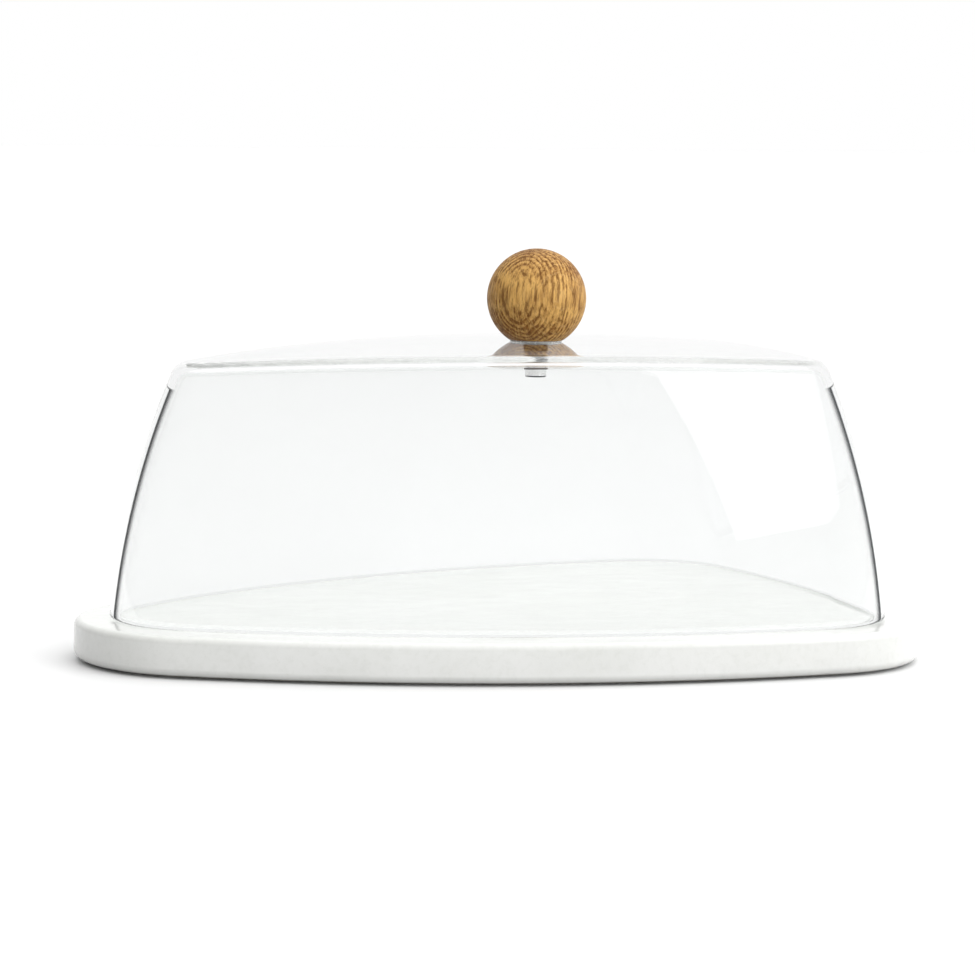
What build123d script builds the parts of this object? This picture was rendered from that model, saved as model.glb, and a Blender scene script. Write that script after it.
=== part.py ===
"""Cheese dome: a glazed ceramic dish, a glass cover that lifts off it, and a turned oak knob.

Seen from above, dish and cover are a rounded wedge with its narrow tip at -X and its wide end at
+X, the same either side of Y = 0. +Z is up. The origin is on the table, under the middle of the
dish. Millimetres.
"""

from build123d import *
from math import atan2, cos, degrees, hypot, radians, sin, sqrt
import os

# Dish: a rounded wedge, seen from above
dish_length = 290.0
dish_depth = 205.0
dish_thickness = 14.5
dish_top_round = 2.6
dish_under_round = 3.0
foot_height = 1.0
foot_inset = 7.0               # dish edge to foot ring
foot_width = 9.0
foot_edge_round = 0.4
foot_recess = 1.6              # inside the foot ring, up from the table
corner_radius = 47.0
side_radius = 380.0            # the two long sides
end_radius = 430.0             # the wide end

# Glass cover
margin = 12.0                  # dish edge to cover
seat_gap = 0.1                 # the cover stands this far off the dish
wall = 2.8
wall_radius = 295.0            # the wall's upright curve
wall_lean = 5.5                # degrees off upright at the rim
wall_arc = 20.0                # degrees, long enough to pass the crown
rim_round = 1.1
core_inset = 34.0              # where the ring of wall meets the core
crown_height = 107.5           # top of the glass under the knob
crown_radius = 1600.0
crown_thickness = 3.0
hole_cut = 12.0                # how far the hole's cutter stands through the crown
shoulder_radius = 6.5
inner_shoulder_radius = 3.7

# Knob and its screw
knob_x = 21.5
knob_y = 0.0
knob_radius = 17.5
knob_flat_radius = 9.6
knob_edge_round = 0.6
insert_radius = 3.45
insert_length = 12.0
insert_clearance = 0.05
bore_end_room = 2.0            # left above the insert for the screw's tip
insert_groove = 0.35
insert_grooves = 5
insert_bore = 2.05
pad_radius = 9.2               # clear washer between knob and glass
pad_thickness = 0.6
screw_radius = 1.95
screw_reach = 10.0             # how far the screw goes into the knob
screw_head_radius = 3.7
screw_head_height = 6.8
screw_socket = 3.0             # across the flats
screw_socket_depth = 2.6
screw_head_round = 0.4
screw_tip_chamfer = 0.5
sleeve_radius = 2.9
glass_hole_radius = 3.1
washer_bore = 2.15
soft_washer_radius = 4.3
soft_washer_thickness = 2.0
steel_washer_radius = 4.1
steel_washer_thickness = 1.0
washer_chamfer = 0.15

# Worked out from the sizes above
tip_x = corner_radius - dish_length / 2
corner_y = dish_depth / 2 - corner_radius
corner_x = dish_length / 2 - end_radius + sqrt((end_radius - corner_radius) ** 2 - corner_y**2)
cover_base = dish_thickness + seat_gap
knob_flat_drop = sqrt(knob_radius**2 - knob_flat_radius**2)
knob_flat_height = crown_height + pad_thickness
knob_centre_height = knob_flat_height + knob_flat_drop
glass_underside = crown_height - crown_thickness
underside_dip = soft_washer_radius**2 / (2 * (crown_radius - crown_thickness))
soft_washer_top = glass_underside - underside_dip
steel_washer_top = soft_washer_top - soft_washer_thickness
screw_seat = steel_washer_top - steel_washer_thickness

os.makedirs("parts", exist_ok=True)


def arc_centre(first, second, radius):
    """Centre of the arc that leaves one corner and joins the next, anticlockwise, with no kink."""
    (x1, y1), (x2, y2) = first, second
    half_span = hypot(x2 - x1, y2 - y1) / 2
    rise = sqrt((radius - corner_radius) ** 2 - half_span**2) / (2 * half_span)
    return (x1 + x2) / 2 - rise * (y2 - y1), (y1 + y2) / 2 + rise * (x2 - x1)


def outline_arcs():
    """The dish's outline, anticlockwise: (centre x, centre y, radius, start angle, angle)."""
    corners = [(tip_x, 0), (corner_x, -corner_y), (corner_x, corner_y)]
    side_radii = [side_radius, end_radius, side_radius]
    sides = []
    for index, radius in enumerate(side_radii):
        corner, following = corners[index], corners[(index + 1) % 3]
        x, y = arc_centre(corner, following, radius)
        start = degrees(atan2(corner[1] - y, corner[0] - x))
        end = degrees(atan2(following[1] - y, following[0] - x))
        sides.append((x, y, radius, start, (end - start) % 360))
    arcs = []
    for index, side in enumerate(sides):
        x, y = corners[(index + 1) % 3]
        end = side[3] + side[4]
        arcs.append(side)
        arcs.append((x, y, corner_radius, end, (sides[(index + 1) % 3][3] - end) % 360))
    return arcs


def outline_face(inset, height):
    """The outline as a face at a height, moved inwards by an inset."""
    with BuildSketch(Plane.XY.offset(height)) as face:
        with BuildLine():
            for x, y, radius, start, angle in outline_arcs():
                CenterArc((x, y), radius - inset, start, angle)
        make_face()
    return face.sketch


def dome_blank(inset, bend_radius, ball_radius):
    """A solid dome: a curved wall round the outline, under a shallow spherical crown."""
    with BuildPart() as blank:
        extrude(outline_face(margin + core_inset, cover_base), amount=crown_height)
        for x, y, radius, start, angle in outline_arcs():
            out = Vector(cos(radians(start)), sin(radians(start)))
            upright = Plane(origin=(x, y, cover_base), x_dir=out, z_dir=out.cross(Vector(0, 0, 1)))
            with BuildSketch(upright):
                with BuildLine():
                    foot = radius - margin - inset
                    root = radius - margin - core_inset
                    lean = radians(wall_lean)
                    JernArc((foot, 0), (-sin(lean), cos(lean)), bend_radius, wall_arc)
                    top = bend_radius * (sin(lean + radians(wall_arc)) - sin(lean))
                    head = foot - bend_radius * (cos(lean) - cos(lean + radians(wall_arc)))
                    Polyline((head, top), (root, top), (root, 0), (foot, 0))
                make_face()
            revolve(axis=Axis((x, y, 0), (0, 0, 1)), revolution_arc=angle)
        with Locations((knob_x, knob_y, crown_height - crown_radius)):
            Sphere(ball_radius, mode=Mode.INTERSECT)
    return blank.part


def ring(outer, bore, base, thickness):
    """A flat washer round the knob's axis, from its base height upwards."""
    with BuildPart() as washer:
        with BuildSketch(Plane.XY.offset(base)):
            with Locations((knob_x, knob_y)):
                Circle(outer)
                Circle(bore, mode=Mode.SUBTRACT)
        extrude(amount=thickness)
        rims = washer.edges().filter_by(GeomType.CIRCLE).sort_by(SortBy.RADIUS)[-2:]
        chamfer(rims, length=washer_chamfer)
    return washer.part


# --- Dish: a flat slab with rounded edges, on a low foot ring set in from them --------------------
with BuildPart() as dish:
    extrude(outline_face(0, foot_height), amount=dish_thickness - foot_height)
    fillet(dish.faces().sort_by(Axis.Z)[-1].edges(), radius=dish_top_round)
    fillet(dish.faces().sort_by(Axis.Z)[0].edges(), radius=dish_under_round)
    extrude(outline_face(foot_inset, 0), amount=foot_height)
    fillet(dish.faces().sort_by(Axis.Z)[0].edges(), radius=foot_edge_round)
    extrude(outline_face(foot_inset + foot_width, 0), amount=foot_recess, mode=Mode.SUBTRACT)
dish.part.label = "dish"
export_step(dish.part, "parts/dish.step")


# --- Glass cover: curved walls leaning in to a shallow crown, with a hole for the screw -----------
with BuildPart() as hollow:
    add(dome_blank(wall, wall_radius - wall, crown_radius - crown_thickness))
    fillet(hollow.faces().sort_by(Axis.Z)[-1].edges(), radius=inner_shoulder_radius)

with BuildPart() as glass_cover:
    add(dome_blank(0, wall_radius, crown_radius))
    fillet(glass_cover.faces().sort_by(Axis.Z)[-1].edges(), radius=shoulder_radius)
    add(hollow.part, mode=Mode.SUBTRACT)
    fillet(glass_cover.faces().sort_by(Axis.Z)[0].edges(), radius=rim_round)
    with Locations((knob_x, knob_y, crown_height)):
        Cylinder(glass_hole_radius, hole_cut, mode=Mode.SUBTRACT)
glass_cover.part.label = "glass_cover"
export_step(glass_cover.part, "parts/glass_cover.step")


# --- Knob: a turned ball with a flat and a blind hole for its insert ------------------------------
with BuildPart() as knob:
    with Locations((knob_x, knob_y, knob_centre_height)):
        Sphere(knob_radius)
    split(bisect_by=Plane.XY.offset(knob_flat_height), keep=Keep.TOP)
    flat = knob.faces().sort_by(Axis.Z)[0]
    fillet(flat.edges(), radius=knob_edge_round)
    with Locations((knob_x, knob_y, knob_flat_height)):
        Cylinder(
            insert_radius + insert_clearance,
            insert_length + bore_end_room,
            align=(Align.CENTER, Align.CENTER, Align.MIN),
            mode=Mode.SUBTRACT,
        )
knob.part.label = "knob"
export_step(knob.part, "parts/knob.step")


# --- Threaded insert: a grooved brass bush pressed into the knob ----------------------------------
with BuildPart() as threaded_insert:
    with BuildSketch(Plane.XY.offset(knob_flat_height)):
        with Locations((knob_x, knob_y)):
            Circle(insert_radius)
            Circle(insert_bore, mode=Mode.SUBTRACT)
    extrude(amount=insert_length)
    pitch = insert_length / (insert_grooves + 1)
    for groove in range(1, insert_grooves + 1):
        with BuildSketch(Plane.XY.offset(knob_flat_height + groove * pitch - pitch / 4)):
            with Locations((knob_x, knob_y)):
                Circle(insert_radius + insert_groove)
                Circle(insert_radius - insert_groove, mode=Mode.SUBTRACT)
        extrude(amount=pitch / 2, mode=Mode.SUBTRACT)
threaded_insert.part.label = "threaded_insert"
export_step(threaded_insert.part, "parts/threaded_insert.step")


# --- Washers and sleeve: nothing hard bears on the glass ------------------------------------------
knob_pad = ring(pad_radius, washer_bore, crown_height, pad_thickness)
knob_pad.label = "knob_pad"
export_step(knob_pad, "parts/knob_pad.step")

glass_sleeve = ring(
    sleeve_radius, washer_bore, soft_washer_top, crown_height - soft_washer_top
)
glass_sleeve.label = "glass_sleeve"
export_step(glass_sleeve, "parts/glass_sleeve.step")

soft_washer = ring(soft_washer_radius, washer_bore, steel_washer_top, soft_washer_thickness)
soft_washer.label = "soft_washer"
export_step(soft_washer, "parts/soft_washer.step")

steel_washer = ring(steel_washer_radius, washer_bore, screw_seat, steel_washer_thickness)
steel_washer.label = "steel_washer"
export_step(steel_washer, "parts/steel_washer.step")


# --- Screw: a round head with a hexagon socket, up through the glass into the insert --------------
with BuildPart() as screw:
    with BuildSketch(Plane.XY.offset(screw_seat - screw_head_height)):
        with Locations((knob_x, knob_y)):
            Circle(screw_head_radius)
    extrude(amount=screw_head_height)
    fillet(screw.faces().sort_by(Axis.Z)[0].edges(), radius=screw_head_round)
    with BuildSketch(Plane.XY.offset(screw_seat - screw_head_height)):
        with Locations((knob_x, knob_y)):
            RegularPolygon(screw_socket / 2, 6, major_radius=False)
    extrude(amount=screw_socket_depth, mode=Mode.SUBTRACT)
    with BuildSketch(Plane.XY.offset(screw_seat)):
        with Locations((knob_x, knob_y)):
            Circle(screw_radius)
    extrude(amount=knob_flat_height + screw_reach - screw_seat)
    chamfer(screw.faces().sort_by(Axis.Z)[-1].edges(), length=screw_tip_chamfer)
screw.part.label = "screw"
export_step(screw.part, "parts/screw.step")
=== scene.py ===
"""Cheese dome: a glazed dish, a clear glass cover and a turned oak ball knob.

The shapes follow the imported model. Seen from above, dish and cover are a rounded wedge with its
narrow tip at -X and its wide end at +X, the same either side of Y = 0. +Z is up. Metres.
"""

import math

import bmesh
import bpy
import numpy as np
from mathutils import Matrix, Vector


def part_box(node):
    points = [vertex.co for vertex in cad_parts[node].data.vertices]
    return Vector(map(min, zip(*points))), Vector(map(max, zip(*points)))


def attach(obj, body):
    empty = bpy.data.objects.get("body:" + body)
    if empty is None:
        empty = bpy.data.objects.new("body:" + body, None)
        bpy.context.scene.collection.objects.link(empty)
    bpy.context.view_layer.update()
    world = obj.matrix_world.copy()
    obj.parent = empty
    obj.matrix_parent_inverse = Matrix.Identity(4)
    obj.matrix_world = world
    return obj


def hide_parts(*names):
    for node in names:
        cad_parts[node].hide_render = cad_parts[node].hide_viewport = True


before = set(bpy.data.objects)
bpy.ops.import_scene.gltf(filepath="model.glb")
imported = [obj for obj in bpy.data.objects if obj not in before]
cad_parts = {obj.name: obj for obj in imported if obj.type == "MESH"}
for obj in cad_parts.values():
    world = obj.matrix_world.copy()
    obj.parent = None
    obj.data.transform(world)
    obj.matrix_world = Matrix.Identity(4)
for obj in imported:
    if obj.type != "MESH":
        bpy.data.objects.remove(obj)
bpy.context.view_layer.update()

bl_info = {
    "name": "Cheese Dome",
    "version": (1, 0, 0),
    "blender": (4, 5, 0),
    "location": "3D View > Sidebar > Cheese Dome",
    "description": "Builds a cheese dome: glazed dish, glass cover, oak knob and its fixings",
    "category": "Add Mesh",
}

DISH_LOW, DISH_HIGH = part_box("dish")
COVER_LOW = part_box("glass_cover")[0]
KNOB_LOW, KNOB_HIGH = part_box("knob")
INSERT_LOW, INSERT_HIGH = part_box("threaded_insert")
SCREW_LOW, SCREW_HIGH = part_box("screw")
KNOB_X = (KNOB_LOW.x + KNOB_HIGH.x) / 2
KNOB_RADIUS = (KNOB_HIGH.x - KNOB_LOW.x) / 2
FULL_TURN = 2 * math.pi
# How deep the dish's rim is swept, and the inset that rings its flat middle
SWEEP_DEPTH, MIDDLE_INSET = 0.030, 0.012
# Rows of points down the cover's crown, its wall and round its rim
CROWN_STEPS, WALL_STEPS, RIM_STEPS = 26, 46, 5
# Rows over the outer and the inner shoulder
OUTER_SHOULDER_STEPS, INNER_SHOULDER_STEPS = 10, 8
# How the crown's rows crowd towards its hole
CROWN_SPACING = 1.15
# The glass's painted dark line, painted shade standing for the dark edge real glass shows, begins
# this many rows down the wall
PAINTED_LINE_DROP = 2
# Longest turn and step between points round the outline
OUTLINE_TURN, OUTLINE_STEP = math.radians(2.4), 0.006
# The screw's bright steel, the near-black painted shade on its lowest end under the head, and how
# far up that shade goes in millimetres
BRIGHT_STEEL, UNDERSIDE_SHADE, UNDERSIDE_SHADE_RISE = (0.93, 0.93, 0.92), (0.03, 0.03, 0.032), 0.7
# Rings per millimetre left by turning the steel and the brass
STEEL_RINGS, BRASS_RINGS = 7.0, 5.0
# The lamps face AIM. The camera stands at EYE and looks along LOOK, tipped down and rolled
AIM = Vector((0.0, 0.0, 0.055))
EYE = Vector((-0.4759, -1.1468, 0.197))
LOOK, PITCH, ROLL = math.atan2(0.9225, 0.3859), 0.1129, 0.0151
RIGHT_SIDE = Vector((0.9225, -0.3859, 0.0))
SENSOR_WIDTH, LENS = 36.0, 130.95
TABLE_HALF = 9.0
# Light runs along inside the glass for many turns before it leaves
BOUNCES = 128


def length(name, default, description, low=0.0):
    """A length in metres for a property group."""
    return bpy.props.FloatProperty(
        name=name, description=description, default=default, min=low, precision=5,
        subtype="DISTANCE", unit="LENGTH",
    )


def colour(name, default, description):
    """A linear colour for a property group."""
    return bpy.props.FloatVectorProperty(
        name=name, description=description, default=default, size=3, min=0.0, max=1.0,
        subtype="COLOR",
    )


class DomeSizes(bpy.types.PropertyGroup):
    """Sizes of the dish, the cover and the knob."""

    corner_radius: length("Corner radius", 0.047, "The dish's three corners, seen from above")
    side_radius: length("Side radius", 0.380, "The dish's two long sides")
    end_radius: length("End radius", 0.430, "The dish's wide end")
    dish_depth: length("Dish depth", 0.205, "Across the wide end, over its corners")
    dish_top_round: length("Top rounding", 0.0026, "The dish's upper edge")
    dish_under_round: length("Under rounding", 0.0030, "The dish's lower edge")
    foot_height: length("Foot height", 0.0010, "The dish's edge stands this far off the table")
    foot_inset: length("Foot inset", 0.0070, "From the dish's edge to its foot ring")
    foot_width: length("Foot width", 0.0090, "Width of the foot ring")
    foot_round: length("Foot rounding", 0.0004, "Edges of the foot ring")
    foot_recess: length("Foot recess", 0.0016, "Inside the foot ring, up from the table")
    margin: length("Margin", 0.0120, "From the dish's edge to the cover")
    wall: length("Wall", 0.0028, "Thickness of the cover's wall")
    wall_radius: length("Wall radius", 0.295, "The upright curve of the cover's wall")
    wall_lean: bpy.props.FloatProperty(
        name="Wall lean", description="How far the wall leans in at its rim",
        default=math.radians(5.5), subtype="ANGLE", unit="ROTATION",
    )
    # Painted shade: the width of the dark line painted inside the wall's outline
    painted_edge_line: length("Edge line", 0.0019, "How far inside its outline the wall looks dark")
    rim_round: length("Rim rounding", 0.0011, "Edges of the cover's rim")
    crown_height: length("Crown height", 0.1075, "Top of the glass, under the knob")
    crown_radius: length("Crown radius", 1.6, "The crown's shallow ball")
    crown_thickness: length("Crown thickness", 0.0030, "Thickness of the crown")
    shoulder: length("Shoulder", 0.0065, "Outer rounding between wall and crown")
    inner_shoulder: length("Inner shoulder", 0.0037, "Inner rounding between wall and crown")
    hole_radius: length("Hole radius", 0.0031, "The crown's hole for the knob's sleeve")
    hole_round: length("Hole edge", 0.0003, "The small bevel of the hole's edges")
    knob_edge: length("Knob edge", 0.0006, "Rounding of the flat's edge")
    knob_bore: length("Knob bore", 0.0035, "Radius of the blind hole for the insert")
    bore_room: length("Bore room", 0.0020, "Room above the insert in the blind hole")
    screw_radius: length("Screw radius", 0.00195, "Over the screw's thread")
    thread_pitch: length("Thread pitch", 0.0007, "Rise of the screw's thread in one turn", 1e-4)
    head_height: length("Head height", 0.0068, "Height of the screw's head")
    socket_size: length("Socket", 0.0030, "Across the flats of the screw's socket")
    socket_depth: length("Socket depth", 0.0026, "Depth of the screw's socket")


class DomeFinishes(bpy.types.PropertyGroup):
    """Colours of the glaze, the glass, the oak and the metal."""

    glaze: colour("Glaze", (0.80, 0.805, 0.785), "The dish's white glaze")
    glaze_shade: colour("Glaze shade", (0.68, 0.69, 0.655), "Where the glaze lies thin")
    clay: colour("Clay", (0.60, 0.545, 0.46), "The unglazed foot ring")
    glass: colour("Glass", (0.930, 0.936, 0.935), "The clear glass")
    # Painted shade: the near-black painted on the glass where its wall is seen edge on, in place of
    # the dark reflections and refractions there
    glass_edge: colour("Glass edge", (0.030, 0.034, 0.036), "The glass seen edge on, inside")
    oak_light: colour("Oak, light", (0.72, 0.415, 0.120), "The oak's late wood")
    oak_dark: colour("Oak, dark", (0.25, 0.098, 0.014), "The oak's early wood")
    oak_ray: colour("Oak, rays", (0.68, 0.41, 0.145), "The oak's pale rays")
    oak_pore: colour("Oak, pores", (0.085, 0.030, 0.005), "The oak's open pores")
    silicone: colour("Silicone", (0.93, 0.93, 0.91), "The clear pad under the ball")
    rubber: colour("Rubber", (0.035, 0.030, 0.026), "The dark washer under the glass")
    brass: colour("Brass", (0.72, 0.50, 0.20), "The insert's brass")
    steel: colour("Steel", (0.55, 0.55, 0.56), "The screw, sleeve and washer")


# --- Shader building ------------------------------------------------------------------------------


class Nodes:
    """A node tree, with short ways to add and join nodes."""

    def __init__(self, tree):
        self.tree = tree

    def add(self, kind, inputs=None, **settings):
        """Adds a node; its inputs are set or linked by name or number."""
        node = self.tree.nodes.new(kind)
        for key, value in settings.items():
            setattr(node, key, value)
        for key, value in (inputs or {}).items():
            self.put(node.inputs[key], value)
        return node

    def put(self, socket, value):
        """Sets a socket, or links another socket to it."""
        if isinstance(value, bpy.types.NodeSocket):
            self.tree.links.new(value, socket)
        elif isinstance(value, (tuple, list)) and socket.type == "RGBA":
            socket.default_value = (*value[:3], 1.0)
        else:
            socket.default_value = value

    def math(self, operation, first, second=0.0, clamp=False):
        """One sum of two values."""
        return self.add(
            "ShaderNodeMath", {0: first, 1: second}, operation=operation, use_clamp=clamp
        ).outputs["Value"]

    def plus(self, first, second, clamp=False):
        """Two values added."""
        return self.math("ADD", first, second, clamp)

    def less(self, first, second):
        """One value less another."""
        return self.math("SUBTRACT", first, second)

    def times(self, first, second):
        """Two values multiplied."""
        return self.math("MULTIPLY", first, second)

    def over(self, first, second):
        """One value divided by another."""
        return self.math("DIVIDE", first, second)

    def larger(self, first, second, clamp=False):
        """The larger of two values."""
        return self.math("MAXIMUM", first, second, clamp)

    def between(self, value, low, high, to_low=0.0, to_high=1.0):
        """A value's smooth climb from one level to another."""
        return self.add("ShaderNodeMapRange", {
            "Value": value, "From Min": low, "From Max": high,
            "To Min": to_low, "To Max": to_high,
        }, interpolation_type="SMOOTHSTEP").outputs["Result"]

    def vector(self, x, y, z=0.0):
        """A vector from three values."""
        return self.add("ShaderNodeCombineXYZ", {"X": x, "Y": y, "Z": z}).outputs["Vector"]

    def split(self, vector):
        """A vector's three values."""
        node = self.add("ShaderNodeSeparateXYZ", {"Vector": vector})
        return tuple(node.outputs[axis] for axis in "XYZ")

    def vector_math(self, operation, first, second=None):
        """One sum of vectors."""
        inputs = {0: first} if second is None else {0: first, 1: second}
        return self.add("ShaderNodeVectorMath", inputs, operation=operation)

    def choose(self, share, first, second):
        """Two shaders mixed by a share."""
        return self.add("ShaderNodeMixShader", {0: share, 1: first, 2: second}).outputs["Shader"]


class Shader(Nodes):
    """A material's node tree."""

    def __init__(self, name):
        self.material = bpy.data.materials.new(name)
        self.material.use_nodes = True
        super().__init__(self.material.node_tree)
        self.tree.nodes.clear()
        self.output = self.add("ShaderNodeOutputMaterial")

    def place(self, scale=(1, 1, 1), centre=(0, 0, 0), turn=(0, 0, 0)):
        """Object coordinates in millimetres from a centre, turned and scaled for a pattern."""
        vector = self.add("ShaderNodeTexCoord").outputs["Object"]
        for change in (
            {"Scale": (1000, 1000, 1000), "Location": tuple(-1000 * c for c in centre)},
            {"Rotation": turn}, {"Scale": scale},
        ):
            vector = self.add("ShaderNodeMapping", {"Vector": vector, **change}).outputs["Vector"]
        return vector

    def noise(self, vector, scale, detail=3.0, roughness=0.5, distortion=0.0):
        """A noise pattern's value, between 0 and 1."""
        return self.add("ShaderNodeTexNoise", {
            "Vector": vector, "Scale": scale, "Detail": detail, "Roughness": roughness,
            "Distortion": distortion,
        }).outputs["Fac"]

    def distance(self, x, y):
        """The length of a flat vector."""
        return self.math("SQRT", self.plus(self.times(x, x), self.times(y, y)))

    def attribute(self, name):
        """A value stored on the mesh."""
        return self.add("ShaderNodeAttribute", attribute_name=name).outputs["Fac"]

    def turned_away(self, normal=None):
        """1 less how far a surface faces away from the eye."""
        inputs = {"Blend": 0.5} if normal is None else {"Blend": 0.5, "Normal": normal}
        return self.less(1.0, self.add("ShaderNodeLayerWeight", inputs).outputs["Facing"])

    def mix(self, share, first, second):
        """Two colours mixed by a share."""
        return self.add(
            "ShaderNodeMix", {"Factor": share, 6: first, 7: second}, data_type="RGBA"
        ).outputs[2]

    def bump(self, height, distance, strength=1.0, under=None):
        """A bumped normal; distance is the height in metres of a pattern's full range."""
        inputs = {"Strength": strength, "Distance": distance, "Height": height}
        if under is not None:
            inputs["Normal"] = under
        return self.add("ShaderNodeBump", inputs).outputs["Normal"]

    def surface(self, values):
        """The Principled shader. values gives its sockets by their full names."""
        return self.add("ShaderNodeBsdfPrincipled", values).outputs["BSDF"]

    def done(self, surface):
        """Joins a shader to the output and returns the material."""
        self.put(self.output.inputs["Surface"], surface)
        return self.material


def glaze_material(finish):
    """White glaze with faint mottling; it thins along the edges and stops at the foot ring."""
    m = Shader("glazed_white")
    here = m.place()
    cloud = m.noise(here, 0.035, detail=4.0, roughness=0.55)
    mottle = m.noise(here, 0.42, detail=5.0, roughness=0.62, distortion=0.4)
    specks = m.noise(here, 1.9, detail=2.0)
    share = m.times(m.between(cloud, 0.35, 0.68), 0.30)
    share = m.plus(share, m.times(m.between(mottle, 0.42, 0.78), 0.34))
    share = m.plus(share, m.times(m.attribute("edge"), 0.22), clamp=True)
    white = m.mix(share, tuple(finish.glaze), tuple(finish.glaze_shade))
    pin = m.between(specks, 0.735, 0.79)
    white = m.mix(m.times(pin, 0.35), white, (0.42, 0.38, 0.30))
    ragged = m.plus(m.split(here)[2], m.times(mottle, 0.18))
    foot = m.between(ragged, 0.42, 0.30)
    grit = m.noise(here, 6.0, detail=4.0)
    clay = m.mix(grit, tuple(finish.clay), tuple(0.82 * c for c in finish.clay))
    rough = m.between(mottle, 0.3, 0.8, 0.10, 0.19)
    rough = m.plus(rough, m.times(foot, 0.62))
    wavy = m.bump(m.noise(here, 0.09, detail=2.0), 0.00030, 0.55)
    peel = m.bump(mottle, 0.000045, 0.8, under=wavy)
    grain = m.bump(m.times(grit, foot), 0.00012, 0.7, under=peel)
    return m.done(m.surface({
        "Base Color": m.mix(foot, white, clay), "Roughness": rough, "Normal": grain,
        "IOR": 1.5, "Coat Weight": 0.25, "Coat Roughness": 0.05,
    }))


def glass_material(finish):
    """Clear glass with a painted dark line (painted shade) where its wall is seen edge on; it lets
    lamps through.
    """
    m = Shader("clear_glass")
    # Shares of the painted line's distance where it begins, is whole, starts to fade and has faded
    begins, whole, fades, faded = 0.80, 0.90, 0.95, 1.32
    # Levels between which the mesh's stored value, and a wall seen from above, let it show
    stored_low, stored_high, beside_low, beside_high = 0.02, 0.06, 0.45, 0.70
    darkest, smallest = 0.92, 0.01
    skin = m.attribute("painted_edge_line")
    geometry = m.add("ShaderNodeNewGeometry").outputs
    # 1 where the wall's thickness is seen edge on, whatever the wall's curve
    ratio = m.over(m.turned_away(), m.larger(skin, smallest))
    edge = m.times(m.between(ratio, begins, whole), m.between(ratio, faded, fades))
    edge = m.times(edge, m.between(skin, stored_low, stored_high))
    # From above, the painted shade stays only where the wall's thickness is seen at its sides
    level = m.vector_math("MULTIPLY", geometry["Normal"], (1, 1, 0)).outputs["Vector"]
    upright = m.vector_math("NORMALIZE", level).outputs["Vector"]
    beside = m.over(m.turned_away(upright), m.larger(skin, smallest))
    edge = m.times(edge, m.between(beside, beside_low, beside_high))
    edge = m.times(m.times(edge, m.less(1.0, geometry["Backfacing"])), darkest)
    glass = m.surface({
        "Base Color": tuple(finish.glass), "Transmission Weight": 1.0, "Roughness": 0.0,
        "IOR": 1.5,
    })
    # Painted shade: a near-black diffuse shader takes the glass's place along the line
    dark = m.add("ShaderNodeBsdfDiffuse", {"Color": tuple(finish.glass_edge)}).outputs["BSDF"]
    clear = m.add("ShaderNodeBsdfTransparent", {"Color": (0.96, 0.97, 0.965)}).outputs["BSDF"]
    shadow = m.add("ShaderNodeLightPath").outputs["Is Shadow Ray"]
    return m.done(m.choose(shadow, m.choose(edge, glass, dark), clear))


def oak_material(finish):
    """Oiled oak: growth rings round a nearly upright trunk, open pores and fine rays."""
    m = Shader("oak")
    centre = (KNOB_X, 0.0, KNOB_HIGH.z - KNOB_RADIUS)
    turn = (math.radians(5), math.radians(-6), math.radians(-22))
    # The trunk's heart from the ball's middle, a ring's width and its sway, in millimetres
    heart, ring_width, swing = (25.0, 11.0), 1.7, 6.0
    here = m.place(centre=centre, turn=turn)
    here_x, here_y, height = m.split(here)
    wander = m.noise(m.place((0.10, 0.10, 0.016), centre, turn), 1.0, detail=2.0)
    sway = m.times(m.less(wander, 0.5), swing)
    x = m.plus(m.plus(here_x, heart[0]), sway)
    y = m.plus(here_y, heart[1])
    radius = m.distance(x, y)
    rings = m.math("FRACT", m.over(radius, ring_width))
    early = m.times(m.between(rings, 0.0, 0.14), m.between(rings, 0.78, 0.22))
    # End grain shows at the top and the bottom of the ball
    end_grain = m.between(m.math("ABSOLUTE", height), 4.0, 12.0)
    streak = m.noise(m.place((1.0, 1.0, 0.10), centre, turn), 1.0, detail=4.0, roughness=0.62)
    fine = m.noise(m.place((2.3, 2.3, 0.30), centre, turn), 1.0, detail=2.0, roughness=0.6)
    cells = m.noise(m.place((5.0, 5.0, 0.9), centre, turn), 1.0, detail=2.0)
    crowd = m.times(early, 0.07)
    pores = m.between(m.plus(fine, crowd), 0.55, 0.66)
    large = m.between(m.plus(streak, crowd), 0.57, 0.66)
    pores = m.larger(m.times(pores, 0.62), large, clamp=True)
    around = m.math("ARCTAN2", y, x)
    spoke = m.vector(m.times(around, 44.0), m.times(radius, 0.16), m.times(height, 0.22))
    rays = m.between(m.noise(spoke, 1.0, detail=2.0), 0.54, 0.64)
    tone = m.times(m.between(streak, 0.34, 0.66), 0.60)
    banded = m.times(early, m.plus(m.times(end_grain, 0.52), 0.10))
    tone = m.plus(tone, banded)
    tone = m.plus(tone, m.times(m.less(cells, 0.5), 0.7))
    patch = m.noise(here, 0.055, detail=2.0)
    tone = m.plus(tone, m.times(m.less(patch, 0.47), 1.6))
    tone = m.plus(tone, m.times(end_grain, 0.20), clamp=True)
    wood = m.mix(tone, tuple(finish.oak_light), tuple(finish.oak_dark))
    wood = m.mix(m.times(rays, 0.40), wood, tuple(finish.oak_ray))
    wood = m.mix(m.times(pores, 0.52), wood, tuple(finish.oak_pore))
    rough = m.plus(m.between(pores, 0.0, 1.0, 0.46, 0.66), m.times(cells, 0.08))
    figure = m.bump(cells, 0.00004, 0.5)
    relief = m.bump(m.less(1.0, pores), 0.00014, 0.8, under=figure)
    return m.done(m.surface({
        "Base Color": wood, "Roughness": rough, "Normal": relief, "IOR": 1.40,
        "Specular IOR Level": 0.35,
    }))


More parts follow.
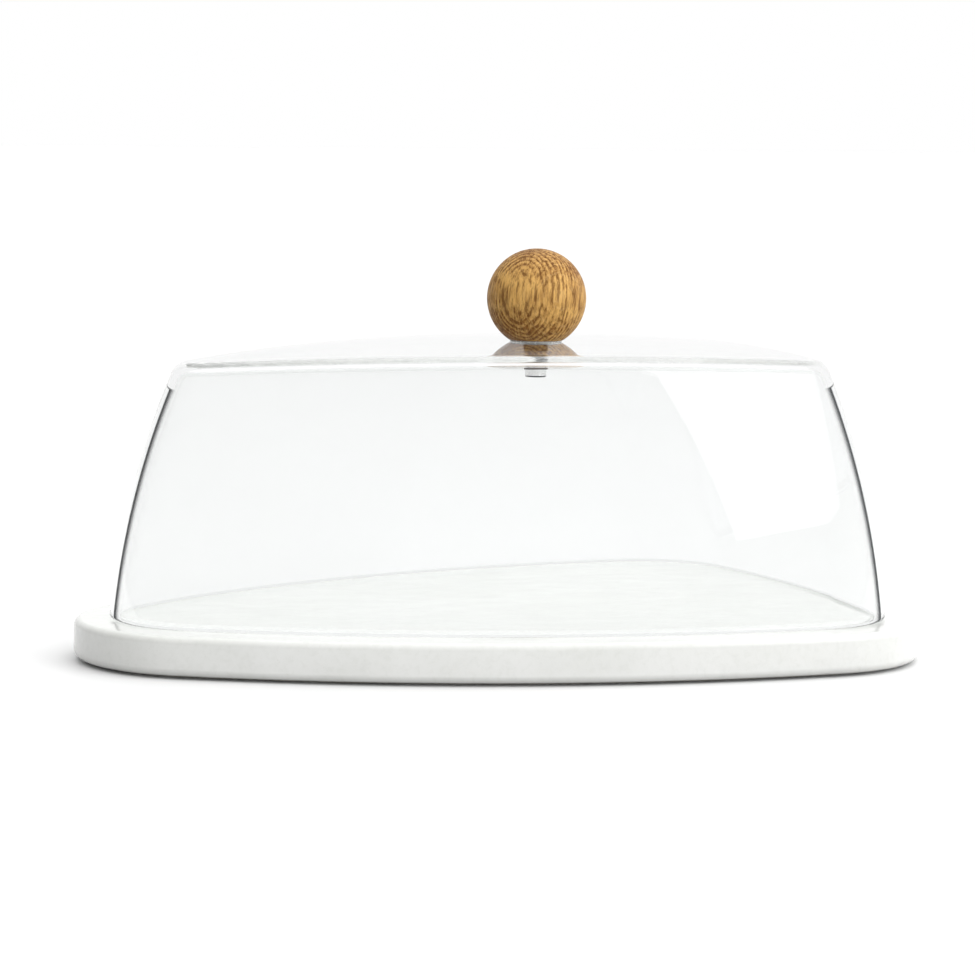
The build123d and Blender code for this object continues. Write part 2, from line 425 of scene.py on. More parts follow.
def moulded_material(name, tint, shade, cloud, rough, grain, height, more=None):
    """Matt moulded rubber with a faint cloudy bloom; more gives other sockets of the surface."""
    m = Shader(name)
    here = m.place()
    bloom = m.noise(here, cloud, detail=4.0)
    return m.done(m.surface({
        "Base Color": m.mix(bloom, tuple(tint), tuple(shade * c for c in tint)),
        "Roughness": m.between(bloom, 0.3, 0.7, *rough),
        "Normal": m.bump(m.noise(here, grain, detail=3.0), height, 0.6), **(more or {}),
    }))


def metal_material(name, tint, centre, rough, lathe, shaded_below=None):
    """Turned or brushed metal: fine rings round the knob's axis, and a little tarnish.

    The last argument is the height, in millimetres, under which the metal is painted near black as
    painted shade.
    """
    m = Shader(name)
    here = m.place(centre=centre)
    x, y, height = m.split(here)
    line = m.vector(m.times(m.distance(x, y), lathe), m.times(height, lathe))
    rings = m.noise(line, 1.0, detail=2.0)
    cloud = m.noise(here, 0.8, detail=3.0)
    shade = m.plus(m.times(rings, 0.35), m.times(cloud, 0.45))
    colour_here = m.mix(shade, tint, tuple(0.62 * c for c in tint))
    if shaded_below is not None:
        # Painted shade: below this height the metal turns near black, for the shade under the
        # screw's head
        underside_mask = m.between(height, shaded_below + 0.15, shaded_below - 0.15)
        colour_here = m.mix(underside_mask, colour_here, UNDERSIDE_SHADE)
    return m.done(m.surface({
        "Base Color": colour_here,
        "Metallic": 1.0, "Roughness": m.between(rings, 0.2, 0.8, rough, rough + 0.14),
        "Normal": m.bump(rings, 0.00002, 0.5),
    }))


# --- Mesh building --------------------------------------------------------------------------------


def add_object(name, data):
    """An object in the scene, with this data."""
    made = bpy.data.objects.new(name, data)
    bpy.context.scene.collection.objects.link(made)
    return made


def new_piece(name, verts, faces, material, body, slot, *nodes):
    """A finished mesh object on a body, standing for CAD nodes."""
    mesh = bpy.data.meshes.new(name)
    mesh.from_pydata([tuple(v) for v in verts], [], faces)
    return finish_piece(name, mesh, material, body, slot, *nodes)


def finish_piece(name, mesh, material, body, slot, *nodes):
    """Gives a mesh its object, material and body; slot is not used."""
    mesh.validate()
    mesh.update()
    if signed_volume(mesh) < 0:
        mesh.flip_normals()
    mesh.materials.clear()
    mesh.materials.append(material)
    mesh.shade_smooth()
    piece = add_object(name, mesh)
    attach(piece, body)
    if nodes:
        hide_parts(*nodes)
    return piece


def signed_volume(mesh):
    """The volume a closed mesh holds, negative when its faces point inwards."""
    mesh.calc_loop_triangles()
    points = np.empty(len(mesh.vertices) * 3)
    mesh.vertices.foreach_get("co", points)
    points = points.reshape(-1, 3)
    index = np.empty(len(mesh.loop_triangles) * 3, np.int32)
    mesh.loop_triangles.foreach_get("vertices", index)
    a, b, c = (points[index.reshape(-1, 3)[:, k]] for k in range(3))
    return float(np.einsum("ij,ij->i", a, np.cross(b, c)).sum() / 6)


def arc_centre(first, second, radius, corner):
    """Centre of the arc that leaves one corner and joins the next, anticlockwise."""
    span = second - first
    half = np.linalg.norm(span) / 2
    rise = math.sqrt((radius - corner) ** 2 - half**2) / (2 * half)
    return (first + second) / 2 + rise * np.array([-span[1], span[0]])


def outline_arcs(sizes):
    """The dish's outline, anticlockwise: (centre, radius, start angle, angle), in radians."""
    corner = sizes.corner_radius
    wide, tip = DISH_HIGH.x, DISH_LOW.x
    corner_y = sizes.dish_depth / 2 - corner
    reach = math.sqrt((sizes.end_radius - corner) ** 2 - corner_y**2)
    corner_x = wide - sizes.end_radius + reach
    corners = [np.array(c) for c in (
        (tip + corner, 0.0), (corner_x, -corner_y), (corner_x, corner_y)
    )]
    sides = []
    for k, radius in enumerate((sizes.side_radius, sizes.end_radius, sizes.side_radius)):
        here, following = corners[k], corners[(k + 1) % 3]
        centre = arc_centre(here, following, radius, corner)
        start = math.atan2(*(here - centre)[::-1])
        end = math.atan2(*(following - centre)[::-1])
        sides.append((centre, radius, start, (end - start) % FULL_TURN))
    arcs = []
    for k, side in enumerate(sides):
        end = side[2] + side[3]
        arcs.append(side)
        turn = (sides[(k + 1) % 3][2] - end) % FULL_TURN
        arcs.append((corners[(k + 1) % 3], corner, end, turn))
    return arcs


def outline(sizes):
    """Points round the dish's edge, the way out at each, and the edge's radius there."""
    edge, out, radii = [], [], []
    for centre, radius, start, turn in outline_arcs(sizes):
        count = math.ceil(turn / OUTLINE_TURN + turn * radius / OUTLINE_STEP)
        for angle in start + turn * np.arange(count) / count:
            way = np.array([math.cos(angle), math.sin(angle)])
            edge.append(centre + radius * way)
            out.append(way)
            radii.append(radius)
    return np.array(edge), np.array(out), np.array(radii)


def spread(low, high, count):
    """Evenly spaced values from low to high, both ends included."""
    return low + (high - low) * np.linspace(0, 1, count)


def cover_skin(sizes, start, inward, inner):
    """One skin of the cover, from its hole out over the crown and down the wall to the rim.

    start and inward are the points on the cover's base outline and the way in at each. Returns
    an array of rows of points.
    """
    shoulder_steps = INNER_SHOULDER_STEPS if inner else OUTER_SHOULDER_STEPS
    base = COVER_LOW.z
    inset = sizes.wall if inner else 0.0
    bend = sizes.wall_radius - inset
    ball = sizes.crown_radius - (sizes.crown_thickness if inner else 0.0)
    shoulder = sizes.inner_shoulder if inner else sizes.shoulder
    knob = np.array([KNOB_X, 0.0])
    ball_z = sizes.crown_height - sizes.crown_radius
    wall_s = inset + bend * math.cos(sizes.wall_lean)
    wall_z = base - bend * math.sin(sizes.wall_lean)

    def point(s, z):
        s, z = np.broadcast_arrays(s, z)
        flat = start + inward * s[:, None]
        return np.column_stack([flat, z])

    # The crown's ball, cut by each upright plane across the wall, is a circle
    to_knob = knob - start
    ball_s = (to_knob * inward).sum(1)
    aside = to_knob[:, 0] * inward[:, 1] - to_knob[:, 1] * inward[:, 0]
    ball_r = np.sqrt(ball**2 - aside**2)
    # The shoulder's circle lies inside the wall's circle and under the crown's
    a, b = bend - shoulder, ball_r - shoulder
    gap_s, gap_z = ball_s - wall_s, ball_z - wall_z
    gap = np.hypot(gap_s, gap_z)
    along = (a**2 - b**2 + gap**2) / (2 * gap)
    across = np.sqrt(a**2 - along**2)
    unit_s, unit_z = gap_s / gap, gap_z / gap
    # The two circles cross twice; the shoulder's middle is the upper crossing
    one, two = (
        (wall_s + along * unit_s - off * unit_z, wall_z + along * unit_z + off * unit_s)
        for off in (across, -across)
    )
    upper = one[1] > two[1]
    mid_s, mid_z = (np.where(upper, *pair) for pair in zip(one, two))
    crown_turn = np.arctan2(mid_z - ball_z, mid_s - ball_s)
    wall_turn = np.arctan2(mid_z - wall_z, mid_s - wall_s)
    rim = sizes.rim_round
    grow = rim if inner else -rim
    rim_z = base + rim
    rim_s = wall_s - math.sqrt((bend + grow) ** 2 - (rim_z - wall_z) ** 2)
    foot_turn = math.atan2(rim_z - wall_z, rim_s - wall_s)

    top_s = mid_s + shoulder * np.cos(crown_turn)
    edge = start + inward * top_s[:, None]
    away = edge - knob
    reach = np.hypot(away[:, 0], away[:, 1])
    away = away / reach[:, None]
    begin = sizes.hole_radius + sizes.hole_round
    bevel = sizes.hole_round if inner else -sizes.hole_round
    skin = []
    for r, shift in ((sizes.hole_radius, bevel), (begin, 0.0)):
        z = ball_z + math.sqrt(ball**2 - r**2) + shift
        skin.append(np.column_stack([knob + away * r, np.full(len(away), z)]))
    for t in np.linspace(0, 1, CROWN_STEPS + 1)[1:]:
        r = begin + (reach - begin) * t**CROWN_SPACING
        flat = knob + away * r[:, None]
        skin.append(np.column_stack([flat, ball_z + np.sqrt(ball**2 - r**2)]))
    for t in np.linspace(0, 1, shoulder_steps + 1)[1:]:
        turn = crown_turn + (wall_turn - crown_turn) * t
        skin.append(point(mid_s + shoulder * np.cos(turn), mid_z + shoulder * np.sin(turn)))
    for t in np.linspace(0, 1, WALL_STEPS + 1)[1:]:
        turn = wall_turn + (foot_turn - wall_turn) * t
        skin.append(point(wall_s + bend * np.cos(turn), wall_z + bend * np.sin(turn)))
    side, down = foot_turn, 1.5 * math.pi
    if inner:
        side, down = math.atan2(-math.sin(foot_turn), -math.cos(foot_turn)), -math.pi / 2
    for t in np.linspace(0, 1, RIM_STEPS + 1)[1:]:
        turn = side + (down - side) * t
        s, z = rim_s + rim * math.cos(turn), rim_z + rim * math.sin(turn)
        skin.append(point(np.full(len(start), s), np.full(len(start), z)))
    return np.array(skin)


def turned(profile, centre, steps):
    """A turned shape's vertices and faces from (radius, height) points, closed on its axis."""
    verts, faces, rings = [], [], []
    for radius, height in profile:
        if radius < 1e-9:
            rings.append([len(verts)])
            verts.append((centre[0], centre[1], height))
            continue
        rings.append(list(range(len(verts), len(verts) + steps)))
        for k in range(steps):
            angle = FULL_TURN * k / steps
            verts.append((
                centre[0] + radius * math.cos(angle), centre[1] + radius * math.sin(angle), height
            ))
    pairs = list(zip(rings, rings[1:]))
    if len(rings[0]) > 1 and len(rings[-1]) > 1:
        pairs.append((rings[-1], rings[0]))
    for one, two in pairs:
        for k in range(steps):
            after = (k + 1) % steps
            if len(one) == 1:
                faces.append((one[0], two[after], two[k]))
            elif len(two) == 1:
                faces.append((one[k], one[after], two[0]))
            else:
                faces.append((one[k], one[after], two[after], two[k]))
    return verts, faces


def grid_faces(rows, around, closed=False):
    """Faces between rows of points that run round; closed joins the last row to the first."""
    return [
        (r * around + k, r * around + (k + 1) % around,
         (r + 1) % rows * around + (k + 1) % around, (r + 1) % rows * around + k)
        for r in range(rows if closed else rows - 1) for k in range(around)
    ]


def point_mesh(name):
    """A mesh of one point, for a tree that needs no shape to start from."""
    mesh = bpy.data.meshes.new(name)
    mesh.from_pydata([(0, 0, 0)], [], [])
    return mesh


def arc_points(centre, radius, start, end, count):
    """(radius, height) points of an arc in a turned profile, both ends included."""
    return [
        (centre[0] + radius * math.cos(a), centre[1] + radius * math.sin(a))
        for a in spread(start, end, count)
    ]


# --- Geometry Nodes -------------------------------------------------------------------------------


class Geometry(Nodes):
    """A Geometry Nodes tree with named inputs."""

    def __init__(self, name):
        super().__init__(bpy.data.node_groups.new(name, "GeometryNodeTree"))
        for way in ("OUTPUT", "INPUT"):
            self.tree.interface.new_socket(
                name="Geometry", in_out=way, socket_type="NodeSocketGeometry"
            )
        self.given = self.add("NodeGroupInput")
        self.result = self.add("NodeGroupOutput")

    def size(self, name, default, kind="NodeSocketFloat"):
        """A named input of the tree."""
        socket = self.tree.interface.new_socket(name=name, in_out="INPUT", socket_type=kind)
        socket.default_value = default
        return self.given.outputs[name]

    def circle(self, steps, radius):
        """A circle lying flat."""
        return self.add(
            "GeometryNodeCurvePrimitiveCircle", {"Resolution": steps, "Radius": radius},
            mode="RADIUS",
        ).outputs["Curve"]

    def instances(self, points, piece):
        """A piece set on each point."""
        node = self.add("GeometryNodeInstanceOnPoints", {"Points": points, "Instance": piece})
        return node.outputs["Instances"]

    def sweep(self, path, profile, caps=False):
        """A profile swept along a path, kept upright."""
        upright = self.add("GeometryNodeSetCurveNormal", {"Curve": path}, mode="Z_UP")
        return self.add("GeometryNodeCurveToMesh", {
            "Curve": upright.outputs["Curve"], "Profile Curve": profile, "Fill Caps": caps,
        }).outputs["Mesh"]

    def by_index(self, data_type, values):
        """A value for each point in turn."""
        node = self.add("GeometryNodeIndexSwitch", data_type=data_type)
        while len(node.index_switch_items) < len(values):
            node.index_switch_items.new()
        self.put(node.inputs["Index"], self.add("GeometryNodeInputIndex").outputs["Index"])
        for key, value in enumerate(values):
            self.put(node.inputs[str(key)], value)
        return node.outputs["Output"]

    def finish(self, mesh, material):
        """Realizes instances, sets the material and ends the tree."""
        whole = self.add("GeometryNodeRealizeInstances", {"Geometry": mesh}).outputs["Geometry"]
        coat = self.add("GeometryNodeSetMaterial", {"Geometry": whole, "Material": material})
        self.put(self.result.inputs["Geometry"], coat.outputs["Geometry"])

    def make(self, mesh, values):
        """Runs the tree on a mesh with these inputs and returns the plain mesh it makes."""
        holder = add_object(self.tree.name, mesh)
        modifier = holder.modifiers.new(self.tree.name, "NODES")
        modifier.node_group = self.tree
        for item in self.tree.interface.items_tree:
            if item.in_out == "INPUT" and item.name in values:
                modifier[item.identifier] = values[item.name]
        bpy.context.view_layer.update()
        evaluated = holder.evaluated_get(bpy.context.evaluated_depsgraph_get())
        made = bpy.data.meshes.new_from_object(evaluated)
        holder.modifiers.clear()
        bpy.data.objects.remove(holder)
        return made


def loop_mesh(name, points):
    """A closed line of edges through points, as a mesh."""
    mesh = bpy.data.meshes.new(name)
    count = len(points)
    mesh.from_pydata([tuple(p) for p in points], [(k, (k + 1) % count) for k in range(count)], [])
    return mesh


def dish_tree(material):
    """Sweeps the dish's rim and foot ring round its outline."""
    g = Geometry("dish_rim")
    (thickness, top_round, under_round, foot_height, foot_inset, foot_width, foot_round, recess,
     sweep_depth) = (g.size(name, default) for name, default in (
        ("Thickness", 0.0145), ("Top rounding", 0.0026), ("Under rounding", 0.003),
        ("Foot height", 0.001), ("Foot inset", 0.007), ("Foot width", 0.009),
        ("Foot rounding", 0.0004), ("Foot recess", 0.0016), ("Sweep depth", SWEEP_DEPTH),
    ))
    foot_in = g.plus(foot_inset, foot_width)
    corners = [
        (sweep_depth, recess, 0.0), (foot_in, recess, foot_round), (foot_in, 0.0, foot_round),
        (foot_inset, 0.0, foot_round), (foot_inset, foot_height, foot_round),
        (0.0, foot_height, under_round), (0.0, thickness, top_round),
        (sweep_depth, thickness, 0.0),
    ]
    where = g.by_index("VECTOR", [g.vector(g.times(s, -1.0), g.times(z, -1.0))
                                  for s, z, _ in corners])
    points = g.add("GeometryNodePoints", {"Count": len(corners), "Position": where})
    line = g.add("GeometryNodePointsToCurves", {"Points": points.outputs[0]})
    fillet = g.add("GeometryNodeFilletCurve", {
        "Curve": line.outputs[0], "Radius": g.by_index("FLOAT", [r for _, _, r in corners]),
        "Count": 9,
    }, mode="POLY")
    path = g.add("GeometryNodeMeshToCurve", {"Mesh": g.given.outputs["Geometry"]})
    g.finish(g.sweep(path.outputs["Curve"], fillet.outputs["Curve"]), material)
    return g


def thread_tree(material):
    """Winds a ridge round an upright core, turn after turn."""
    g = Geometry("screw_thread")
    outer = g.size("Radius", 0.0024)
    pitch = g.size("Pitch", 0.0008)
    rise = g.size("Length", 0.015)
    ridge = g.size("Ridge", 0.0004)
    core = g.less(outer, ridge)
    spiral = g.add("GeometryNodeCurveSpiral", {
        "Resolution": 28, "Rotations": g.over(rise, pitch), "Start Radius": core,
        "End Radius": core, "Height": rise,
    })
    g.finish(g.sweep(spiral.outputs["Curve"], g.circle(6, ridge), True), material)
    return g


def knurl_tree(material):
    """Sets upright ribs side by side round a bush, band over band."""
    g = Geometry("insert_knurl")
    radius = g.size("Radius", 0.0031)
    height = g.size("Height", 0.002)
    bands = g.size("Bands", 5, "NodeSocketInt")
    pitch = g.size("Pitch", 0.0022)
    count = g.size("Ribs", 36, "NodeSocketInt")
    thickness = g.size("Rib radius", 0.00022)
    rib = g.add("GeometryNodeMeshCylinder", {"Vertices": 6, "Radius": thickness, "Depth": height})
    ring = g.instances(g.circle(count, radius), rib.outputs["Mesh"])
    stack = g.add(
        "GeometryNodeMeshLine", {"Count": bands, "Offset": g.vector(0.0, 0.0, pitch)},
        mode="OFFSET",
    )
    g.finish(g.instances(stack.outputs["Mesh"], ring), material)
    return g


# --- Operators ------------------------------------------------------------------------------------


class CHEESEDOME_OT_dish(bpy.types.Operator):
    """Make the glazed dish with its rounded rim and foot ring."""

    bl_idname = "cheesedome.dish"
    bl_label = "Dish"

    def execute(self, context):
        sizes, finish = context.scene.dome_sizes, context.scene.dome_finishes
        edge = outline(sizes)[0]
        material = glaze_material(finish)
        line = loop_mesh("dish_outline", np.column_stack([edge, np.zeros(len(edge))]))
        mesh = dish_tree(material).make(line, {
            "Thickness": DISH_HIGH.z, "Top rounding": sizes.dish_top_round,
            "Under rounding": sizes.dish_under_round, "Foot height": sizes.foot_height,
            "Foot inset": sizes.foot_inset, "Foot width": sizes.foot_width,
            "Foot rounding": sizes.foot_round, "Foot recess": sizes.foot_recess,
            "Sweep depth": SWEEP_DEPTH,
        })
        close_middle(mesh)
        piece = finish_piece("dish_glazed", mesh, material, "dish", "glazed_white", "dish")
        mark_edges(piece.data, DISH_HIGH.z, sizes.dish_top_round)
        return {"FINISHED"}


def close_middle(mesh):
    """Closes a swept rim's two open loops with a face each, and welds the seam."""
    work = bmesh.new()
    work.from_mesh(mesh)
    bmesh.ops.remove_doubles(work, verts=work.verts, dist=1e-6)
    open_edges = [e for e in work.edges if e.is_boundary]
    bmesh.ops.holes_fill(work, edges=open_edges, sides=0)
    for face in list(work.faces):
        if len(face.verts) > 4:
            bmesh.ops.inset_region(work, faces=[face], thickness=MIDDLE_INSET)
    bmesh.ops.recalc_face_normals(work, faces=work.faces)
    work.to_mesh(mesh)
    work.free()


def mark_edges(mesh, top, rounding):
    """Stores on each point how near it is to the dish's upper edge, where the glaze thins."""
    values = mesh.attributes.new("edge", "FLOAT", "POINT").data
    lowest = top - rounding
    points = np.array([v.co for v in mesh.vertices])
    rise = (points[:, 2] - lowest) / rounding
    flat = points[:, 2] > top - 1e-6
    # Thinnest at this share of the rounding's rise, and whole again this far from there
    thinnest, fade = 0.6, 0.8
    share = np.clip(1.0 - np.abs(rise - thinnest) / fade, 0, 1) * ~flat
    values.foreach_set("value", share.astype(np.float32))


class CHEESEDOME_OT_cover(bpy.types.Operator):
    """Make the clear glass cover as one closed wall with a hole in its crown."""

    bl_idname = "cheesedome.cover"
    bl_label = "Glass cover"

    def execute(self, context):
        sizes, finish = context.scene.dome_sizes, context.scene.dome_finishes
        edge, out, radii = outline(sizes)
        start, inward = edge - sizes.margin * out, -out
        outer = cover_skin(sizes, start, inward, False)
        inner = cover_skin(sizes, start, inward, True)
        rows = np.concatenate([outer, inner[::-1]])
        count, around = rows.shape[:2]
        piece = new_piece(
            "cover_glass", rows.reshape(-1, 3), grid_faces(count, around, True),
            glass_material(finish), "cover", "clear_glass", "glass_cover",
        )
        # Stores, down the wall, where the painted dark line (painted shade) shows and how wide it
        # is
        values = np.zeros((count, around), np.float32)
        tightest = 0.004
        for r in range(len(outer) - WALL_STEPS - RIM_STEPS + PAINTED_LINE_DROP, len(outer)):
            inset = np.hypot(*(outer[r][:, :2] - start).T)
            bend = np.maximum(radii - sizes.margin - inset, tightest)
            values[r] = np.sqrt(2 * sizes.painted_edge_line / bend)
        line = piece.data.attributes.new("painted_edge_line", "FLOAT", "POINT").data
        line.foreach_set("value", values.ravel())
        return {"FINISHED"}


class CHEESEDOME_OT_knob(bpy.types.Operator):
    """Make the turned oak ball with its flat and blind hole."""

    bl_idname = "cheesedome.knob"
    bl_label = "Oak knob"

    def execute(self, context):
        sizes, finish = context.scene.dome_sizes, context.scene.dome_finishes
        base, radius = KNOB_LOW.z, KNOB_RADIUS
        middle = KNOB_HIGH.z - radius
        edge = sizes.knob_edge
        # The edge's rounding touches the ball and the flat
        edge_z = base + edge
        edge_r = math.sqrt((radius - edge) ** 2 - (middle - edge_z) ** 2)
        meet = math.atan2(edge_z - middle, edge_r)
        ceiling = INSERT_HIGH.z + sizes.bore_room
        bore, bevel, mouth = sizes.knob_bore, 0.0002, 0.0003
        profile = [(0.0, ceiling)]
        profile += [(r, ceiling) for r in spread(bore / 3, bore - bevel, 3)]
        profile += [(bore, ceiling - bevel)]
        profile += [(bore, z) for z in spread(ceiling - 0.003, base + 0.002, 4)]
        profile += [(bore, base + mouth), (bore + mouth, base)]
        profile += [(r, base) for r in spread(bore + 0.001, edge_r, 5)]
        profile += arc_points((edge_r, edge_z), edge, -math.pi / 2, meet, 6)[1:]
        profile += arc_points((0.0, middle), radius, meet, math.pi / 2, 96)[1:-1]
        profile += [(0.0, middle + radius)]
        verts, faces = turned(profile, (KNOB_X, 0.0), 144)
        new_piece("knob_oak", verts, faces, oak_material(finish), "cover", "oak", "knob")
        return {"FINISHED"}


class CHEESEDOME_OT_fixings(bpy.types.Operator):
    """Make the screw with its thread, and finish the insert, sleeve and washers."""

    bl_idname = "cheesedome.fixings"
    bl_label = "Fixings"

    def execute(self, context):
        finish = context.scene.dome_finishes
        centre = (KNOB_X, 0.0, 0.0)
        steel = metal_material("steel", tuple(finish.steel), centre, 0.20, STEEL_RINGS)
        brass = metal_material("brass", tuple(finish.brass), centre, 0.24, BRASS_RINGS)
        # The screw's bright steel, painted near black at its lowest end as painted shade
        bright = metal_material(
            "steel_blackened_end", BRIGHT_STEEL, centre, 0.12, STEEL_RINGS,
            1000 * SCREW_LOW.z + UNDERSIDE_SHADE_RISE,
        )
        clear = moulded_material(
            "clear_silicone", finish.silicone, 0.90, 1.1, (0.16, 0.30), 3.0, 0.00003,
            {"Transmission Weight": 0.5, "IOR": 1.41},
        )
        dark = moulded_material(
            "dark_rubber", finish.rubber, 2.2, 1.3, (0.42, 0.62), 4.0, 0.00004
        )
        for node, material in (
            ("steel_washer", steel), ("glass_sleeve", steel), ("knob_pad", clear),
            ("soft_washer", dark),
        ):
            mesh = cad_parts[node].data
            mesh.materials.clear()
            mesh.materials.append(material)
        make_screw(context.scene.dome_sizes, bright)
        make_insert(context.scene.dome_sizes, brass)
        return {"FINISHED"}


def weld(parts, name):
    """One mesh from several, each given as (vertices, faces) or a mesh."""
    verts, faces = [], []
    for part in parts:
        points, sides = part if isinstance(part, tuple) else (
            [tuple(v.co) for v in part.vertices], [tuple(f.vertices) for f in part.polygons]
        )
        base = len(verts)
        verts += points
        faces += [tuple(base + k for k in face) for face in sides]
    mesh = bpy.data.meshes.new(name)
    mesh.from_pydata(verts, [], faces)
    return mesh


def make_screw(sizes, steel):
    """A socket-head screw: knurled head with a hexagon socket, and a rolled thread."""
    base, top = SCREW_LOW.z, SCREW_HIGH.z
    seat = base + sizes.head_height
    head = (SCREW_HIGH.x - SCREW_LOW.x) / 2
    core = sizes.screw_radius - 0.00032
    steps, flutes, flute_depth = 96, 24, 0.00012
    # The head's rounding, its plain band, where its flutes begin, and its upper bevel
    edge, band, fluted, bevel = 0.0004, 0.0007, 0.0009, 0.0003
    floor = base + sizes.socket_depth

    def hexagon(scale=1.0):
        """The socket's six-sided outline."""
        def reach(angle):
            lean = (angle + math.pi / 6) % (math.pi / 3) - math.pi / 6
            return scale * (sizes.socket_size / 2) / math.cos(lean)
        return reach

    def knurled(angle):
        """The head's side, with shallow flutes."""
        return head - flute_depth * (0.5 + 0.5 * math.cos(flutes * angle))

    # Each ring is a radius, or an outline, at a height
    shapes = [
        (hexagon(0.05), floor + 0.0006), (hexagon(0.96), floor), (hexagon(), floor - 0.0001),
        (hexagon(), base + 0.0002), (hexagon(1.08), base), (head - band, base),
        *arc_points((head - edge, base + edge), edge, -math.pi / 2, 0, 5)[1:],
        (head, base + band), (knurled, base + fluted), (knurled, seat - fluted),
        (head, seat - band), (head, seat - bevel), (head - bevel, seat),
        (core + 0.0002, seat), (core, seat + 0.0002), (core, top - 0.0005),
        (core - 0.0005, top), (0.0002, top),
    ]
    verts = []
    for shape, height in shapes:
        for k in range(steps):
            angle = FULL_TURN * k / steps
            r = shape(angle) if callable(shape) else shape
            verts.append((KNOB_X + r * math.cos(angle), r * math.sin(angle), height))
    ends = [tuple(range(steps))[::-1], tuple(range(len(verts) - steps, len(verts)))]
    faces = grid_faces(len(shapes), steps) + ends
    begin, end = seat + 0.0010, top - 0.0010
    wound = thread_tree(steel).make(point_mesh("thread_start"), {
        "Radius": sizes.screw_radius - 0.00004, "Pitch": sizes.thread_pitch,
        "Length": end - begin, "Ridge": 0.00026,
    })
    wound.transform(Matrix.Translation((KNOB_X, 0, begin)))
    mesh = weld([(verts, faces), wound], "fixing_screw")
    finish_piece("fixing_screw", mesh, steel, "cover", "steel", "screw")


def make_insert(sizes, brass):
    """The brass insert: a bush with grooves and knurled bands, open at both ends."""
    base, top = INSERT_LOW.z, INSERT_HIGH.z
    outer = (INSERT_HIGH.x - INSERT_LOW.x) / 2
    bore, wall = sizes.screw_radius + 0.0001, outer - 0.00034
    bands, plain, bevel = 5, 0.0006, 0.0002
    knurled = top - base - 2 * plain
    ribs = knurl_tree(brass).make(point_mesh("insert_start"), {
        "Radius": outer - 0.00032, "Height": (top - base) / 6, "Bands": bands,
        "Pitch": knurled / bands,
    })
    ribs.transform(Matrix.Translation((KNOB_X, 0, base + plain + knurled / (2 * bands))))
    profile = [
        (bore, base + bevel), (bore + bevel, base), (wall - bevel, base), (wall, base + bevel),
        (wall, top - bevel), (wall - bevel, top), (bore + bevel, top), (bore, top - bevel),
    ]
    mesh = weld([turned(profile, (KNOB_X, 0.0), 72), ribs], "fixing_insert")
    finish_piece("fixing_insert", mesh, brass, "cover", "brass", "threaded_insert")


class CHEESEDOME_OT_stage(bpy.types.Operator):
    """Make the pale table, the soft light and the camera."""

    bl_idname = "cheesedome.stage"
    bl_label = "Stage"

    def execute(self, context):
        scene = context.scene
        make_table()
        make_world(scene)
        make_lamps()
        make_camera(scene)
        scene.view_settings.view_transform = "Standard"
        scene.view_settings.look = "None"
        for kind in ("max_bounces", "glossy_bounces", "transmission_bounces"):
            setattr(scene.cycles, kind, BOUNCES)
        return {"FINISHED"}


def make_table():
    """A wide pale table top."""
    m = Shader("table")
    here = m.place()
    pale, dull, thrown_back = ((shade,) * 3 for shade in (0.87, 0.85, 0.50))
    tint = m.mix(m.noise(here, 0.006, detail=3.0), pale, dull)
    # It throws back less light than it shows, so that the object keeps its shade
    path = m.add("ShaderNodeLightPath")
    tint = m.mix(path.outputs["Is Diffuse Ray"], tint, thrown_back)
    material = m.done(m.surface({"Base Color": tint, "Roughness": 0.55}))
    mesh = bpy.data.meshes.new("table")
    corners = [(x * TABLE_HALF, y * TABLE_HALF, 0) for x, y in ((-1, -1), (1, -1), (1, 1), (-1, 1))]
    mesh.from_pydata(corners, [], [(0, 1, 2, 3)])
    mesh.materials.append(material)
    table = add_object("table", mesh)


def make_world(scene):
    """A white room: plain white to look at, brighter behind, above and at the right."""
    world = bpy.data.worlds.new("studio")
    world.use_nodes = True
    w = Nodes(world.node_tree)
    w.tree.nodes.clear()
    path = w.add("ShaderNodeLightPath").outputs
    coords = w.add("ShaderNodeTexCoord").outputs["Generated"]

    def room(towards, dark, light):
        """A light that climbs from one strength to another towards a direction."""
        dot = w.vector_math("DOT_PRODUCT", coords, towards.normalized()).outputs["Value"]
        strength = w.between(dot, -1.0, 1.0, dark, light)
        return w.add("ShaderNodeBackground", {"Strength": strength}).outputs["Background"]

    back = Vector((math.cos(LOOK), math.sin(LOOK), 0.0))
    up = Vector((0, 0, 1))
    lit = room(RIGHT_SIDE * 0.92 - back * 0.06 + up * 0.58, 0.0, 2.25)
    mirrored = room(RIGHT_SIDE * 0.5 + back * 0.8 + up * 0.2, 0.25, 1.25)
    seen = w.add("ShaderNodeBackground", {"Color": (1, 1, 1)}).outputs["Background"]
    direct = w.larger(path["Is Camera Ray"], path["Is Transmission Ray"])
    surface = w.choose(direct, w.choose(path["Is Glossy Ray"], lit, mirrored), seen)
    w.add("ShaderNodeOutputWorld", {"Surface": surface})
    scene.world = world


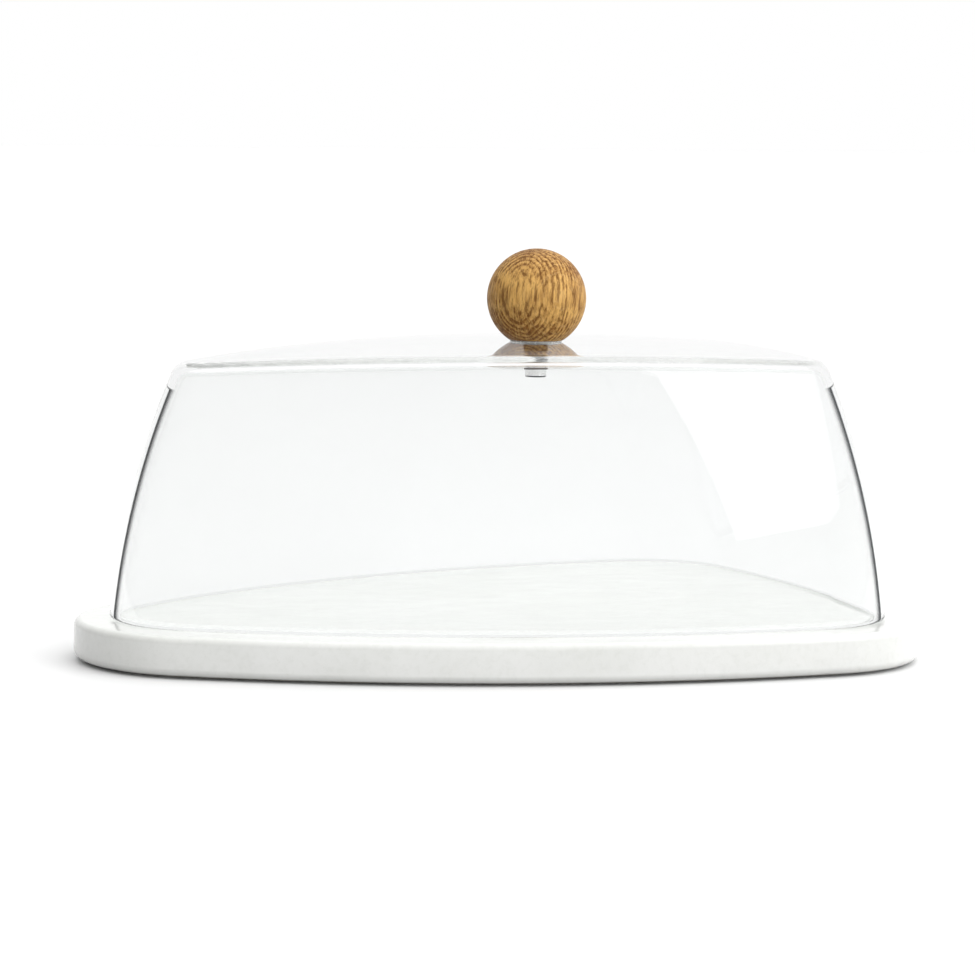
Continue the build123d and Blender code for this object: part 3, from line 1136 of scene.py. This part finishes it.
def make_lamps():
    """A large soft lamp at the right and one overhead."""
    for name, place, size, power in (
        ("soft_right", AIM + RIGHT_SIDE * 1.1 + Vector((-0.25, -0.60, 0.75)), 0.9, 3.0),
        ("soft_top", AIM + Vector((0.1, 0.35, 1.3)), 1.4, 2.0),
    ):
        light = bpy.data.lights.new(name, "AREA")
        light.shape, light.size, light.energy = "SQUARE", size, power
        lamp = add_object(name, light)
        lamp.location = place
        lamp.rotation_euler = (AIM - place).to_track_quat("-Z", "Y").to_euler()


def make_camera(scene):
    """The camera, a little above the table's level, turned towards the narrow side's front."""
    data = bpy.data.cameras.new("camera")
    data.sensor_width, data.lens = SENSOR_WIDTH, LENS
    data.clip_start, data.clip_end = 0.01, 50.0
    camera = add_object("camera", data)
    view = Vector((
        math.cos(LOOK) * math.cos(PITCH), math.sin(LOOK) * math.cos(PITCH), -math.sin(PITCH)
    ))
    turn = view.to_track_quat("-Z", "Y").to_matrix().to_4x4()
    camera.matrix_world = Matrix.Translation(EYE) @ turn @ Matrix.Rotation(ROLL, 4, "Z")
    scene.camera = camera


class CHEESEDOME_PT_panel(bpy.types.Panel):
    """Lists the cheese dome's pieces, sizes and finishes."""

    bl_idname = "CHEESEDOME_PT_panel"
    bl_label = "Cheese Dome"
    bl_space_type = "VIEW_3D"
    bl_region_type = "UI"
    bl_category = "Cheese Dome"

    def draw(self, context):
        for piece in PIECES:
            self.layout.operator(piece.bl_idname)
        for group in (context.scene.dome_sizes, context.scene.dome_finishes):
            box = self.layout.box()
            for name in group.__annotations__:
                box.prop(group, name)


PIECES = (
    CHEESEDOME_OT_dish, CHEESEDOME_OT_cover, CHEESEDOME_OT_knob, CHEESEDOME_OT_fixings,
    CHEESEDOME_OT_stage,
)
CLASSES = (DomeSizes, DomeFinishes, *PIECES, CHEESEDOME_PT_panel)


def register():
    """Registers the classes and gives the scene its sizes and finishes."""
    for one in CLASSES:
        bpy.utils.register_class(one)
    bpy.types.Scene.dome_sizes = bpy.props.PointerProperty(type=DomeSizes)
    bpy.types.Scene.dome_finishes = bpy.props.PointerProperty(type=DomeFinishes)


def unregister():
    """Takes the scene's sizes and finishes and the classes away again."""
    del bpy.types.Scene.dome_finishes
    del bpy.types.Scene.dome_sizes
    for one in reversed(CLASSES):
        bpy.utils.unregister_class(one)


def main():
    """Makes every piece and the stage."""
    register()
    for piece in PIECES:
        group, name = piece.bl_idname.split(".")
        getattr(getattr(bpy.ops, group), name)()


if __name__ == "__main__":
    main()
